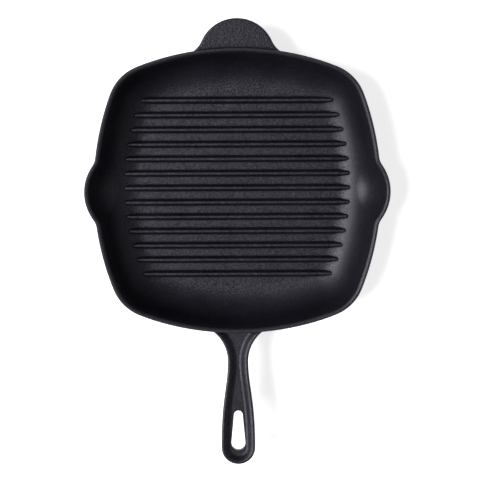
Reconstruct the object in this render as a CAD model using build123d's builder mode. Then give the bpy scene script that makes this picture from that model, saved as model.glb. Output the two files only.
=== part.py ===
# Square cast iron grill pan with two pour spouts, a long handle and a helper handle.
# Sizes are in millimetres and angles in degrees. The origin is the centre of the flat base,
# on its underside. Z points up, the long handle points along -Y, the helper handle along +Y.
import os
from math import atan2, cos, radians, sin, sqrt, tan

from build123d import *

os.makedirs("parts", exist_ok=True)

# Pan: the outline at the rim is a square with bowed sides and round corners.
pan_half_width = 138
side_bow_radius = 264
corner_radius = 45
rim_height = 46
floor_thickness = 5
wall_thickness = 4
wall_draft_angle = 18
inner_cove_radius = 32
outer_cove_radius = 38

# Rim: a bevel meets each side of the wall, with a flatter one above it.
rim_bevel_width = 0.9
rim_bevel_drop = 1.1
rim_top_bevel = 0.45

# Lower outlines keep their bow and lose only part of their corner radius as they draw in.
corner_follow_share = 0.55
# Levels of the cove between the base and the wall, as shares of the cove's turn.
cove_step_shares = (0, 0.25, 0.5, 0.75)

# Pour spouts: on each side a round cup breaks through the wall and is blended into it.
spout_reach = 9
spout_radius = 45
spout_floor_gap = 6
spout_blend_radius = 15
spout_bend_share = 0.82

# Ribs: straight bars across the floor with round ends, which stop a little way up the cove.
rib_count = 13
rib_rim_gap = 52.2
rib_end_inset = 29
rib_height = 4
rib_foot_width = 6.4
rib_foot_edge = 0.15
rib_foot_round = 1.4
rib_top_width = 2.4
rib_top_round = 0.9

# Long handle, seen from above: flared root, neck, swelling grip and round end.
handle_length = 131
handle_neck_distance = 28
handle_neck_half_width = 10.1
handle_end_radius = 16.7
handle_root_half_width = 37
handle_root_radius = 14
handle_root_sink = 2.5
neck_hold_length = 25
grip_hold_length = 50

# Long handle, seen from the side. Its sides draw in a little towards the underside.
handle_step = 3
handle_rise_angle = 3
handle_end_thickness = 10.5
handle_bend_distance = 33
handle_bend_thickness = 12
handle_root_thickness = 16
handle_side_draw = 1.2
handle_top_round = 1.7
handle_bottom_round = 2.6

# Dish in the top of the long handle: a smooth valley that runs up to the wall of the pan.
bead_width = 2
dish_depth = 4
# Longest run of the dish's wall, as a share of the half width that the beads leave at the neck.
dish_run_share = 0.9
# Levels of the dish's wall: share of its run inwards, and share of its depth.
dish_wave_shares = ((0, 0), (0.25, 0.146), (0.5, 0.5), (0.75, 0.854), (1, 1))

# Hanging hole through the dish, narrow towards the pan and wide towards the end.
hole_small_radius = 4.3
hole_large_radius = 6.9
hole_length = 40
hole_end_margin = 13
hole_bevel = 0.6
hole_land = 0.2

# Helper handle: a flat round tab just below the rim.
tab_reach = 27
tab_radius = 36.5
tab_blend_radius = 24
tab_root_sink = 0.3
tab_step = 2.5
tab_thickness = 6
tab_edge_round = 1.8

# Length that cutting and trimmed shapes run past the surfaces they meet.
overrun = 30

# An edge with less height than this lies level.
level_tolerance = 0.5


def wall_inset(drop):
    """Level distance from the rim outline to the outer wall, at a depth below the rim."""
    return drop * tan(radians(wall_draft_angle))


def bowl_levels(rim_inset, bottom_height, cove_radius):
    """Inset from the rim outline and height of each level of a bowl, from its base to the rim."""
    cove_top = bottom_height + cove_radius * (1 - sin(radians(wall_draft_angle)))
    cove_top_inset = rim_inset + wall_inset(rim_height - cove_top)
    cove_centre_inset = cove_top_inset + cove_radius * cos(radians(wall_draft_angle))
    levels = []
    for share in cove_step_shares:
        turn = radians(90 - share * (90 - wall_draft_angle))
        inset = cove_centre_inset - cove_radius * cos(turn)
        levels.append((inset, bottom_height + cove_radius * (1 - sin(turn))))
    levels.append((cove_top_inset, cove_top))
    levels.append((rim_inset, rim_height))
    return levels


def bowed_sizes(inset):
    """Half width, side and corner radius, and centre of the corner, of the outline at an inset."""
    half = pan_half_width - inset
    bow = side_bow_radius - inset
    corner = corner_radius - inset * corner_follow_share
    bow_centre = half - bow
    corner_centre = (sqrt(2 * (bow - corner) ** 2 - bow_centre**2) + bow_centre) / 2
    return half, bow, corner, corner_centre


def bowed_square(inset):
    """Closed outline of four bowed sides joined by round corners, drawn in by the inset."""
    half, bow, corner, corner_centre = bowed_sizes(inset)
    bow_centre = half - bow
    joint_x = bow_centre + bow * (corner_centre - bow_centre) / (bow - corner)
    joint_y = bow * corner_centre / (bow - corner)
    tip = corner_centre + corner / sqrt(2)
    with BuildLine() as outline:
        for quarter in range(4):
            turn = 90 * quarter
            side_start = Vector(joint_x, -joint_y).rotate(Axis.Z, turn)
            side_middle = Vector(half, 0).rotate(Axis.Z, turn)
            side_end = Vector(joint_x, joint_y).rotate(Axis.Z, turn)
            corner_middle = Vector(tip, tip).rotate(Axis.Z, turn)
            corner_end = Vector(joint_y, joint_x).rotate(Axis.Z, turn)
            ThreePointArc(side_start, side_middle, side_end)
            ThreePointArc(side_end, corner_middle, corner_end)
    return outline.line


def bowl(rim_inset, bottom_height, cove_radius, cup_radius, cup_bottom, blend_radius):
    """Solid that fills a bowl up to the rim, with both spout cups blended into its sides."""
    spout_centre = pan_half_width + spout_reach - spout_radius
    rim_point = Vector(cup_radius, rim_height)
    foot_point = Vector(cup_radius - wall_inset(rim_height - cup_bottom), cup_bottom)
    base_point = Vector(0, cup_bottom)
    upper_pull = rim_point + (foot_point - rim_point) * spout_bend_share
    lower_pull = base_point + (foot_point - base_point) * spout_bend_share
    with BuildPart() as cup:
        with BuildSketch(Plane.XZ):
            with BuildLine():
                Bezier(rim_point, upper_pull, lower_pull, base_point)
                Polyline(base_point, (0, rim_height), rim_point)
            make_face()
        revolve(axis=Axis.Z)

    with BuildPart() as shape:
        for inset, height in bowl_levels(rim_inset, bottom_height, cove_radius):
            with BuildSketch(Plane.XY.offset(height)):
                with BuildLine():
                    add(bowed_square(inset))
                make_face()
        loft()
        for side, half_turn in ((1, 180), (-1, 0)):
            add(cup.part.moved(Location((side * spout_centre, 0, 0), (0, 0, half_turn))))
        seams = shape.edges().filter_by(
            lambda edge: edge.bounding_box().size.Z > level_tolerance
            and abs(edge.center().Y) < level_tolerance
        )
        fillet(seams, radius=blend_radius)
    return shape.part


def rib_reach(rib_y):
    """Half length of the top of a rib, up to the outline on which the ribs end."""
    half, bow, corner, corner_centre = bowed_sizes(rib_end_inset)
    side_reach = half - bow + sqrt(bow**2 - rib_y**2)
    if abs(rib_y) * (bow - corner) < bow * corner_centre:
        return side_reach
    return corner_centre + sqrt(corner**2 - (abs(rib_y) - corner_centre) ** 2)


def rib_profile():
    """Closed outline of one half of a rib's section, with the floor at Y 0 and a long root below."""
    foot_corner = Vector(rib_foot_width / 2, rib_foot_edge)
    top_corner = Vector(rib_top_width / 2, rib_height)
    side = (top_corner - foot_corner).normalized()
    half_turn = atan2(side.Y, -side.X) / 2
    foot_run = rib_foot_round * tan(half_turn)
    top_run = rib_top_round * tan(half_turn)
    foot = foot_corner + Vector(foot_run, 0)
    top = top_corner - Vector(top_run, 0)
    side_start = foot_corner + side * foot_run
    side_end = top_corner - side * top_run
    with BuildLine() as outline:
        TangentArc(foot, side_start, tangent=(-1, 0))
        Line(side_start, side_end)
        TangentArc(side_end, top, tangent=side)
        Polyline(top, (0, rib_height), (0, -overrun), (foot.X, -overrun), foot)
    return outline.line


def flare(inset, drop):
    """Turn and radius of the arc that widens the long handle from its neck, and its end at the wall."""
    bow_drop = side_bow_radius - sqrt(side_bow_radius**2 - handle_root_half_width**2)
    root_y = handle_root_sink + bow_drop + wall_inset(drop)
    run = handle_root_half_width - handle_root_radius - handle_neck_half_width
    reach = root_y + handle_neck_distance - handle_root_radius
    turn = 2 * atan2(run, reach)
    return turn, handle_root_radius + reach / sin(turn) + inset, root_y + inset


def grip_outline(inset):
    """Open outline round the end of the long handle, from one side of its neck to the other."""
    end_radius = handle_end_radius - inset
    end_y = handle_end_radius - handle_length
    with BuildLine() as outline:
        ThreePointArc((-end_radius, end_y), (0, end_y - end_radius), (end_radius, end_y))
        for side in (1, -1):
            grip_end = Vector(side * end_radius, end_y)
            neck = Vector(side * (handle_neck_half_width - inset), -handle_neck_distance)
            grip_pull = grip_end + Vector(0, grip_hold_length)
            neck_pull = neck - Vector(0, neck_hold_length)
            Bezier(grip_end, grip_pull, neck_pull, neck)
    return outline.line


def handle_outline(inset, drop):
    """Closed outline of the long handle at an inset from its edge, with the rim at Y 0."""
    flare_turn, flare_radius, root_y = flare(inset, drop)
    neck_x = handle_neck_half_width - inset
    joint_x = neck_x + flare_radius * (1 - cos(flare_turn))
    joint_y = flare_radius * sin(flare_turn) - handle_neck_distance
    with BuildLine() as outline:
        add(grip_outline(inset))
        for side in (1, -1):
            neck = Vector(side * neck_x, -handle_neck_distance)
            joint = Vector(side * joint_x, joint_y)
            root = Vector(side * handle_root_half_width, root_y)
            TangentArc(neck, joint, tangent=(0, 1))
            TangentArc(joint, root, tangent=(side * sin(flare_turn), cos(flare_turn)))
            Line(root, (root.X, overrun))
        Line((-root.X, overrun), (root.X, overrun))
    return outline.line


def tab_outline():
    """Closed outline of the helper handle, blended into the wall at the level of its underside."""
    wall_radius = side_bow_radius - wall_inset(tab_step + tab_thickness) - tab_root_sink
    wall_centre = Vector(0, pan_half_width - side_bow_radius)
    tab_centre = Vector(0, pan_half_width + tab_reach - tab_radius)
    centre_gap = tab_centre.Y - wall_centre.Y
    to_tab = tab_radius + tab_blend_radius
    to_wall = wall_radius + tab_blend_radius
    blend_rise = (to_wall**2 - to_tab**2 + centre_gap**2) / (2 * centre_gap)
    blend_x = sqrt(to_wall**2 - blend_rise**2)
    with BuildLine() as outline:
        for side in (1, -1):
            blend_centre = Vector(side * blend_x, wall_centre.Y + blend_rise)
            tab_way = (tab_centre - blend_centre).normalized()
            wall_way = (wall_centre - blend_centre).normalized()
            tab_joint = blend_centre + tab_way * tab_blend_radius
            middle = blend_centre + (tab_way + wall_way).normalized() * tab_blend_radius
            wall_joint = blend_centre + wall_way * tab_blend_radius
            ThreePointArc(tab_joint, middle, wall_joint)
            Line(wall_joint, wall_joint - Vector(0, overrun))
        tab_top = tab_centre + Vector(0, tab_radius)
        ThreePointArc((-tab_joint.X, tab_joint.Y), tab_top, (tab_joint.X, tab_joint.Y))
        foot = wall_joint - Vector(0, overrun)
        Line((-foot.X, foot.Y), (foot.X, foot.Y))
    return outline.line


outer_bowl = bowl(
    rim_inset=0,
    bottom_height=0,
    cove_radius=outer_cove_radius,
    cup_radius=spout_radius,
    cup_bottom=floor_thickness + spout_floor_gap - wall_thickness,
    blend_radius=spout_blend_radius,
)
pan_space = bowl(
    rim_inset=wall_thickness,
    bottom_height=floor_thickness,
    cove_radius=inner_cove_radius,
    cup_radius=spout_radius - wall_thickness,
    cup_bottom=floor_thickness + spout_floor_gap,
    blend_radius=spout_blend_radius + wall_thickness,
)

# The body is the outer bowl less the space inside, with both edges of the rim beveled.
with BuildPart() as pan_body:
    add(outer_bowl)
    rim = pan_body.faces().sort_by(Axis.Z)[-1]
    chamfer(rim.edges(), length=rim_bevel_width, length2=rim_bevel_drop, reference=rim)
    add(pan_space, mode=Mode.SUBTRACT)
    rim = pan_body.faces().sort_by(Axis.Z)[-1]
    inner_edges = rim.inner_wires()[0].edges()
    chamfer(inner_edges, length=rim_bevel_width, length2=rim_bevel_drop, reference=rim)
    rim = pan_body.faces().sort_by(Axis.Z)[-1]
    chamfer(rim.edges(), length=rim_top_bevel)
pan_body.part.label = "pan_body"
export_step(pan_body.part, "parts/pan_body.step")

# Each rib is a bar with its section turned round at both ends, cut to the space inside the pan.
rib_pitch = 2 * (pan_half_width - rib_rim_gap) / (rib_count - 1)
for number in range(rib_count):
    rib_y = (number - (rib_count - 1) / 2) * rib_pitch
    reach = rib_reach(rib_y)
    with BuildPart() as grill_rib:
        middle = Plane((0, rib_y, floor_thickness), x_dir=(0, 1, 0), z_dir=(1, 0, 0))
        with BuildSketch(middle):
            with BuildLine():
                add(rib_profile())
            make_face()
            mirror(about=Plane.YZ)
        extrude(amount=reach, both=True)
        for side in (1, -1):
            rib_end = Vector(side * reach, rib_y, floor_thickness)
            with BuildSketch(Plane(rib_end, x_dir=(0, -side, 0), z_dir=(-side, 0, 0))):
                with BuildLine():
                    add(rib_profile())
                make_face()
            revolve(axis=Axis(rib_end, (0, 0, 1)), revolution_arc=180)
        add(pan_space, mode=Mode.INTERSECT)
    name = f"grill_rib_{number + 1:02d}"
    grill_rib.part.label = name
    export_step(grill_rib.part, f"parts/{name}.step")

# The long handle is shaped level, with its top at Z 0 and the rim at Y 0, before it is set.
with BuildPart() as handle_blank:
    for inset, depth in ((0, 0), (handle_side_draw, handle_root_thickness)):
        with BuildSketch(Plane.XY.offset(-depth)):
            with BuildLine():
                add(handle_outline(inset, handle_step + depth))
            make_face()
    loft(ruled=True)

    end = Vector(-handle_length - overrun, -handle_end_thickness)
    bend = Vector(-handle_bend_distance, -handle_bend_thickness)
    root_y = flare(handle_side_draw, handle_step + handle_root_thickness)[-1]
    root = Vector(root_y, -handle_root_thickness)
    below = Vector(0, -overrun)
    with BuildSketch(Plane.YZ):
        with BuildLine():
            Line(end, bend)
            TangentArc(bend, root, tangent=bend - end)
            Polyline(root, root + below, end + below, end)
        make_face()
    extrude(amount=handle_root_half_width + overrun, both=True, mode=Mode.SUBTRACT)

    outside = handle_blank.edges().filter_by(
        lambda edge: edge.bounding_box().size.Y > level_tolerance
        and edge.bounding_box().max.Y < overrun
    )
    top_edges = outside.filter_by(
        lambda edge: edge.bounding_box().min.Z > -level_tolerance
    )
    bottom_edges = outside.filter_by(
        lambda edge: edge.bounding_box().max.Z < level_tolerance - handle_end_thickness
    )
    fillet(top_edges, radius=handle_top_round)
    fillet(bottom_edges, radius=handle_bottom_round)

# Each level of the dish is parallel to the edge of the handle and runs on into the wall.
# Its wall runs in until it nearly meets the other side at the neck, or the land round the hole.
with BuildPart() as handle_dish:
    neck_run = dish_run_share * (handle_neck_half_width - bead_width)
    end_run = handle_end_radius - bead_width - hole_large_radius - hole_bevel - hole_land
    dish_run = min(neck_run, end_run)
    for run_share, depth_share in dish_wave_shares:
        with BuildSketch(Plane.XY.offset(-dish_depth * depth_share)):
            with BuildLine():
                add(handle_outline(bead_width + dish_run * run_share, handle_step))
            make_face()
    loft()

with BuildPart() as handle_shape:
    add(handle_blank.part)
    add(handle_dish.part, mode=Mode.SUBTRACT)
    hole_end = hole_end_margin - handle_length
    with BuildSketch():
        with Locations((0, hole_end + hole_large_radius)):
            Circle(hole_large_radius)
        with Locations((0, hole_end + hole_length - hole_small_radius)):
            Circle(hole_small_radius)
        make_hull()
    extrude(amount=-handle_root_thickness, mode=Mode.SUBTRACT)
    hole_walls = handle_shape.faces(Select.LAST).filter_by(
        lambda face: face.bounding_box().size.Z > dish_depth
    )
    hole_edges = hole_walls.edges().filter_by(
        lambda edge: edge.bounding_box().size.Z < hole_bevel
    )
    chamfer(hole_edges, length=hole_bevel)

handle_place = Location((0, -pan_half_width, rim_height - handle_step), (-handle_rise_angle, 0, 0))
with BuildPart() as long_handle:
    add(handle_shape.part.moved(handle_place))
    add(outer_bowl, mode=Mode.SUBTRACT)
long_handle.part.label = "long_handle"
export_step(long_handle.part, "parts/long_handle.step")

with BuildPart() as helper_handle:
    with BuildSketch(Plane.XY.offset(rim_height - tab_step)):
        with BuildLine():
            add(tab_outline())
        make_face()
    extrude(amount=-tab_thickness)
    fillet(helper_handle.edges().filter_by(GeomType.CIRCLE), radius=tab_edge_round)
    add(outer_bowl, mode=Mode.SUBTRACT)
helper_handle.part.label = "helper_handle"
export_step(helper_handle.part, "parts/helper_handle.step")
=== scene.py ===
from math import cos, radians, sin

import bpy
from mathutils import Matrix, Vector

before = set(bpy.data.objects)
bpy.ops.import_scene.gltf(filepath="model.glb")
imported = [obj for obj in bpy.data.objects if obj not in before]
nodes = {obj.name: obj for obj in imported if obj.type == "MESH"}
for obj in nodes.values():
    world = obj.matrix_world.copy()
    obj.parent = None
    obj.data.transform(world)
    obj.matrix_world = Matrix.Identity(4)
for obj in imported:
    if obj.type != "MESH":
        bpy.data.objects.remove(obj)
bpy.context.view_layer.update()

# Camera: measured from the photograph, in metres and degrees, in the frame of the part.
camera_place = Vector((0.002359, 0.171277, 1.373649))
camera_tilt = 9.281
camera_roll = -0.2368
camera_lens = 105.05
sensor_width = 36
camera_reach = 100

# Skin of the casting, shared by all its materials. Scales are in waves per metre, rates are
# shares of the scale of the grain, and ranges are parts of a noise that runs from 0 to 1. The
# skin calms between two heights above the base, in metres.
cloud_scale = 24
cloud_coat_range = (0.35, 0.65)
cloud_rough_range = (0.3, 0.7)
cloud_wear_range = (0.4, 0.6)
swell_scale = 60
swell_height = 0.0002
lump_rate = 0.3
lump_height_share = 1.2
speck_rate = 0.8
speck_coat_range = (0.5, 0.75)
speck_coat_share = 0.6
speck_lightening = 2.6
speck_gleam_range = (0.3, 0.7)
speck_gleam_swing = 0.5
calm_heights = (0.0052, 0.009)

# Painted shade in crevices, where the coat is darkened and its reflection dimmed, and edges, where it is
# worn thin.
# The first range is a share of open sky, and the second the cosine of the turn at an edge of the given
# width.
painted_shade_range = (0.5, 0.95)
painted_shade_gleam_share = 0.12
painted_shade_darkening = 0.4
painted_shade_samples = 12
edge_width = 0.0008
edge_range = (0.8, 0.98)
edge_samples = 6
wear_shares = (0.2, 0.7)
worn_coat = (0.014, 0.0138, 0.016)
reflection_tint = (0.9, 0.89, 1, 1)

# Floor: one large pale sheet just under the base.
floor_size = 30
floor_gap = 0.0002
floor_colour = (0.9, 0.9, 0.9, 1)
floor_roughness = 0.9
floor_gloss = 0.1
floor_glow = 0.7

# Room: heights and side shares are parts of the direction that a ray takes.
white = (1, 1, 1)
room_light = 0.12
ceiling_light = 0.035
wall_heights = (0.02, 0.3)
side_shares = (0.3, 0.8)
end_wall_share = 0.2

# Lamps: suns, so their distance has no effect on the light.
lamp_distance = 2


def opaque(colour):
    return (*colour, 1)


def scaled(colour, factor):
    return tuple(channel * factor for channel in colour)


def feed(tree, socket, value):
    """The socket's value, from another socket or as plain numbers."""
    if isinstance(value, bpy.types.NodeSocket):
        tree.links.new(value, socket)
    else:
        socket.default_value = value


def noise(tree, place, scale, detail, roughness):
    node = tree.nodes.new("ShaderNodeTexNoise")
    feed(tree, node.inputs["Vector"], place)
    feed(tree, node.inputs["Scale"], scale)
    feed(tree, node.inputs["Detail"], detail)
    feed(tree, node.inputs["Roughness"], roughness)
    return node.outputs["Fac"]


def remap(tree, value, span, results):
    """The value moved from a span to a range of results, and held inside it."""
    node = tree.nodes.new("ShaderNodeMapRange")
    node.clamp = True
    feed(tree, node.inputs["Value"], value)
    for name, number in zip(("From Min", "From Max", "To Min", "To Max"), (*span, *results)):
        feed(tree, node.inputs[name], number)
    return node.outputs["Result"]


def combine(tree, operation, *values):
    """One step of arithmetic on sockets or numbers."""
    node = tree.nodes.new("ShaderNodeMath")
    node.operation = operation
    for socket, value in zip(node.inputs, values):
        feed(tree, socket, value)
    return node.outputs["Value"]


def parts(tree, place):
    """The X, Y and Z parts of a place or a direction."""
    node = tree.nodes.new("ShaderNodeSeparateXYZ")
    feed(tree, node.inputs["Vector"], place)
    return node.outputs


def mix_colour(tree, factor, first, second):
    """Mix of two colours, each given as a socket or as three numbers."""
    node = tree.nodes.new("ShaderNodeMix")
    node.data_type = "RGBA"
    feed(tree, node.inputs["Factor"], factor)
    for name, colour in (("A", first), ("B", second)):
        feed(tree, node.inputs[name], opaque(colour) if isinstance(colour, tuple) else colour)
    return node.outputs["Result"]


def bump(tree, height, distance, normal=None, strength=1):
    """A surface that rises by the distance where the height is 1, on top of another normal."""
    node = tree.nodes.new("ShaderNodeBump")
    feed(tree, node.inputs["Height"], height)
    feed(tree, node.inputs["Distance"], distance)
    feed(tree, node.inputs["Strength"], strength)
    if normal is not None:
        feed(tree, node.inputs["Normal"], normal)
    return node.outputs["Normal"]


def openness(tree, reach):
    """Share of open sky over a point, near 1 on open faces and low in a crevice, which sets where shade
    is painted.
    """
    node = tree.nodes.new("ShaderNodeAmbientOcclusion")
    node.samples = painted_shade_samples
    feed(tree, node.inputs["Distance"], reach)
    return node.outputs["AO"]


def edges(tree):
    """Share of a sharp edge: how far the rounded normal turns away from the true one."""
    rounded = tree.nodes.new("ShaderNodeBevel")
    rounded.samples = edge_samples
    feed(tree, rounded.inputs["Radius"], edge_width)
    true_shape = tree.nodes.new("ShaderNodeNewGeometry")
    match = tree.nodes.new("ShaderNodeVectorMath")
    match.operation = "DOT_PRODUCT"
    feed(tree, match.inputs[0], rounded.outputs["Normal"])
    feed(tree, match.inputs[1], true_shape.outputs["Normal"])
    return remap(tree, match.outputs["Value"], edge_range, (1, 0))


def seen_rays(tree):
    """1 for rays by which the room is seen: straight, in a reflection or through glass."""
    paths = tree.nodes.new("ShaderNodeLightPath").outputs
    straight_or_reflected = combine(tree, "MAXIMUM", paths["Is Camera Ray"], paths["Is Glossy Ray"])
    return combine(tree, "MAXIMUM", straight_or_reflected, paths["Is Transmission Ray"])


def new_material(name):
    material = bpy.data.materials.new(name)
    material.use_nodes = True
    return material, material.node_tree, material.node_tree.nodes["Principled BSDF"]


def cast_iron(name, dark, light, grain_size, grain_slope, gloss, rough_range, calm_share, painted_shade_reach):
    """Black coated cast iron with the fine skin of a sand casting, and painted shade in its crevices."""
    material, tree, shader = new_material(name)
    place = tree.nodes.new("ShaderNodeTexCoord").outputs["Object"]
    grain_height = grain_slope * grain_size

    clouds = noise(tree, place, cloud_scale, detail=3, roughness=0.55)
    swell = noise(tree, place, swell_scale, detail=2, roughness=0.5)
    lumps = noise(tree, place, lump_rate / grain_size, detail=2, roughness=0.5)
    pits = noise(tree, place, 1 / grain_size, detail=2, roughness=0.6)
    specks = noise(tree, place, speck_rate / grain_size, detail=1, roughness=0.5)
    # Painted shade: crevices and tight corners, which see little open sky, get a darker coat and a
    # dimmer reflection.
    painted_shade_factor = remap(tree, openness(tree, painted_shade_reach), painted_shade_range, (painted_shade_gleam_share, 1))

    # The skin is rougher on the flat floor than in the cove, where the sand mould draws cleanly.
    skin_share = remap(tree, parts(tree, place)["Z"], calm_heights, (1, calm_share))

    cloud_share = remap(tree, clouds, cloud_coat_range, (0, 1))
    coat = mix_colour(tree, cloud_share, dark, light)
    speck_share = remap(tree, specks, speck_coat_range, (0, speck_coat_share))
    coat = mix_colour(tree, speck_share, coat, scaled(light, speck_lightening))
    patchy_wear = remap(tree, clouds, cloud_wear_range, wear_shares)
    worn_share = combine(tree, "MULTIPLY", edges(tree), patchy_wear)
    coat = mix_colour(tree, worn_share, coat, worn_coat)
    # Painted shade: the coat is darkened in crevices.
    coat = mix_colour(tree, painted_shade_factor, scaled(dark, painted_shade_darkening), coat)
    feed(tree, shader.inputs["Base Color"], coat)

    swing = (-speck_gleam_swing, speck_gleam_swing)
    speck_rise = remap(tree, specks, speck_gleam_range, swing)
    skin_rise = combine(tree, "MULTIPLY", speck_rise, skin_share)
    gleam = remap(tree, skin_rise, swing, [gloss * (1 + rise) for rise in swing])
    # Painted shade: the reflection is dimmed in crevices.
    painted_shade_gleam = combine(tree, "MULTIPLY", gleam, painted_shade_factor)
    feed(tree, shader.inputs["Specular IOR Level"], painted_shade_gleam)
    shader.inputs["Specular Tint"].default_value = reflection_tint
    feed(tree, shader.inputs["Roughness"], remap(tree, clouds, cloud_rough_range, rough_range))

    normal = bump(tree, swell, swell_height)
    normal = bump(tree, lumps, grain_height * lump_height_share, normal, skin_share)
    normal = bump(tree, pits, grain_height, normal, skin_share)
    feed(tree, shader.inputs["Normal"], normal)
    return material


def sun(name, strength, spread, colour, tilt, turn):
    """Soft sun, tilted from straight above towards a compass turn from +X, in degrees."""
    data = bpy.data.lights.new(name, "SUN")
    data.energy = strength
    data.color = colour
    data.angle = radians(spread)
    lamp = bpy.data.objects.new(name, data)
    bpy.context.scene.collection.objects.link(lamp)
    level = Vector((cos(radians(turn)), sin(radians(turn)), 0))
    aim = level * sin(radians(tilt)) + Vector((0, 0, cos(radians(tilt))))
    lamp.rotation_mode = "QUATERNION"
    lamp.rotation_quaternion = aim.to_track_quat("Z", "Y")
    lamp.location = aim * lamp_distance


pan_iron = cast_iron(
    "cast_iron_body",
    dark=(0.0027, 0.0026, 0.0054),
    light=(0.0048, 0.0046, 0.0082),
    grain_size=0.0011,
    grain_slope=0.11,
    gloss=0.6,
    rough_range=(0.47, 0.55),
    calm_share=0.35,
    painted_shade_reach=0.003,
)
rib_iron = cast_iron(
    "cast_iron_ribs",
    dark=(0.0027, 0.0026, 0.0054),
    light=(0.0052, 0.0049, 0.0086),
    grain_size=0.0011,
    grain_slope=0.1,
    gloss=0.6,
    rough_range=(0.46, 0.54),
    calm_share=1,
    painted_shade_reach=0.003,
)
tab_iron = cast_iron(
    "cast_iron_tab",
    dark=(0.0031, 0.003, 0.0058),
    light=(0.0058, 0.0056, 0.0096),
    grain_size=0.0012,
    grain_slope=0.18,
    gloss=0.56,
    rough_range=(0.47, 0.55),
    calm_share=1,
    painted_shade_reach=0.005,
)
handle_iron = cast_iron(
    "cast_iron_handle",
    dark=(0.0031, 0.003, 0.0058),
    light=(0.0058, 0.0056, 0.0096),
    grain_size=0.0012,
    grain_slope=0.16,
    gloss=0.56,
    rough_range=(0.45, 0.53),
    calm_share=0.5,
    painted_shade_reach=0.004,
)

own_iron = {"pan_body": pan_iron, "long_handle": handle_iron, "helper_handle": tab_iron}
for name, node in nodes.items():
    node.data.materials.clear()
    node.data.materials.append(own_iron.get(name, rib_iron))

bpy.ops.mesh.primitive_plane_add(size=floor_size, location=(0, 0, -floor_gap))
floor = bpy.context.object
floor.name = "floor"
pale, tree, surface = new_material("pale_floor")
surface.inputs["Base Color"].default_value = floor_colour
surface.inputs["Roughness"].default_value = floor_roughness
surface.inputs["Specular IOR Level"].default_value = floor_gloss
surface.inputs["Emission Color"].default_value = opaque(white)
glow = combine(tree, "MULTIPLY", seen_rays(tree), floor_glow)
feed(tree, surface.inputs["Emission Strength"], glow)
floor.data.materials.append(pale)

# Where the camera, a reflection or a see-through ray looks at the room, it is white near the
# horizon and dim overhead, like a studio with pale walls under a dark ceiling. Its two end walls,
# before and behind the pan, are darker than the side walls. All other rays find a dim even light.
world = bpy.data.worlds.new("room")
bpy.context.scene.world = world
world.use_nodes = True
tree = world.node_tree
background = tree.nodes["Background"]
background.inputs["Color"].default_value = opaque(white)
way = parts(tree, tree.nodes.new("ShaderNodeTexCoord").outputs["Generated"])
upright_light = remap(tree, way["Z"], wall_heights, (1, ceiling_light))
side_light = remap(tree, combine(tree, "ABSOLUTE", way["X"]), side_shares, (end_wall_share, 1))
strength = tree.nodes.new("ShaderNodeMix")
feed(tree, strength.inputs["Factor"], seen_rays(tree))
feed(tree, strength.inputs["A"], room_light)
feed(tree, strength.inputs["B"], combine(tree, "MULTIPLY", upright_light, side_light))
feed(tree, background.inputs["Strength"], strength.outputs["Result"])

sun("key_light", strength=3.35, spread=26, colour=(0.98, 0.97, 1), tilt=36, turn=180)
sun("fill_light", strength=0.1, spread=120, colour=white, tilt=0, turn=0)
sun("east_light", strength=0.22, spread=60, colour=(0.9, 0.9, 1), tilt=45, turn=0)

camera_data = bpy.data.cameras.new("camera")
camera_data.lens = camera_lens
camera_data.sensor_width = sensor_width
camera_data.clip_end = camera_reach
camera = bpy.data.objects.new("camera", camera_data)
bpy.context.scene.collection.objects.link(camera)
bpy.context.scene.camera = camera
forward = Vector((0, -sin(radians(camera_tilt)), -cos(radians(camera_tilt))))
level_right = Vector((1, 0, 0))
level_up = level_right.cross(forward)
right = level_right * cos(radians(camera_roll)) + level_up * sin(radians(camera_roll))
up = level_up * cos(radians(camera_roll)) - level_right * sin(radians(camera_roll))
facing = Matrix((right, up, -forward)).transposed()
camera.matrix_world = Matrix.Translation(camera_place) @ facing.to_4x4()

bpy.context.scene.view_settings.view_transform = "Standard"
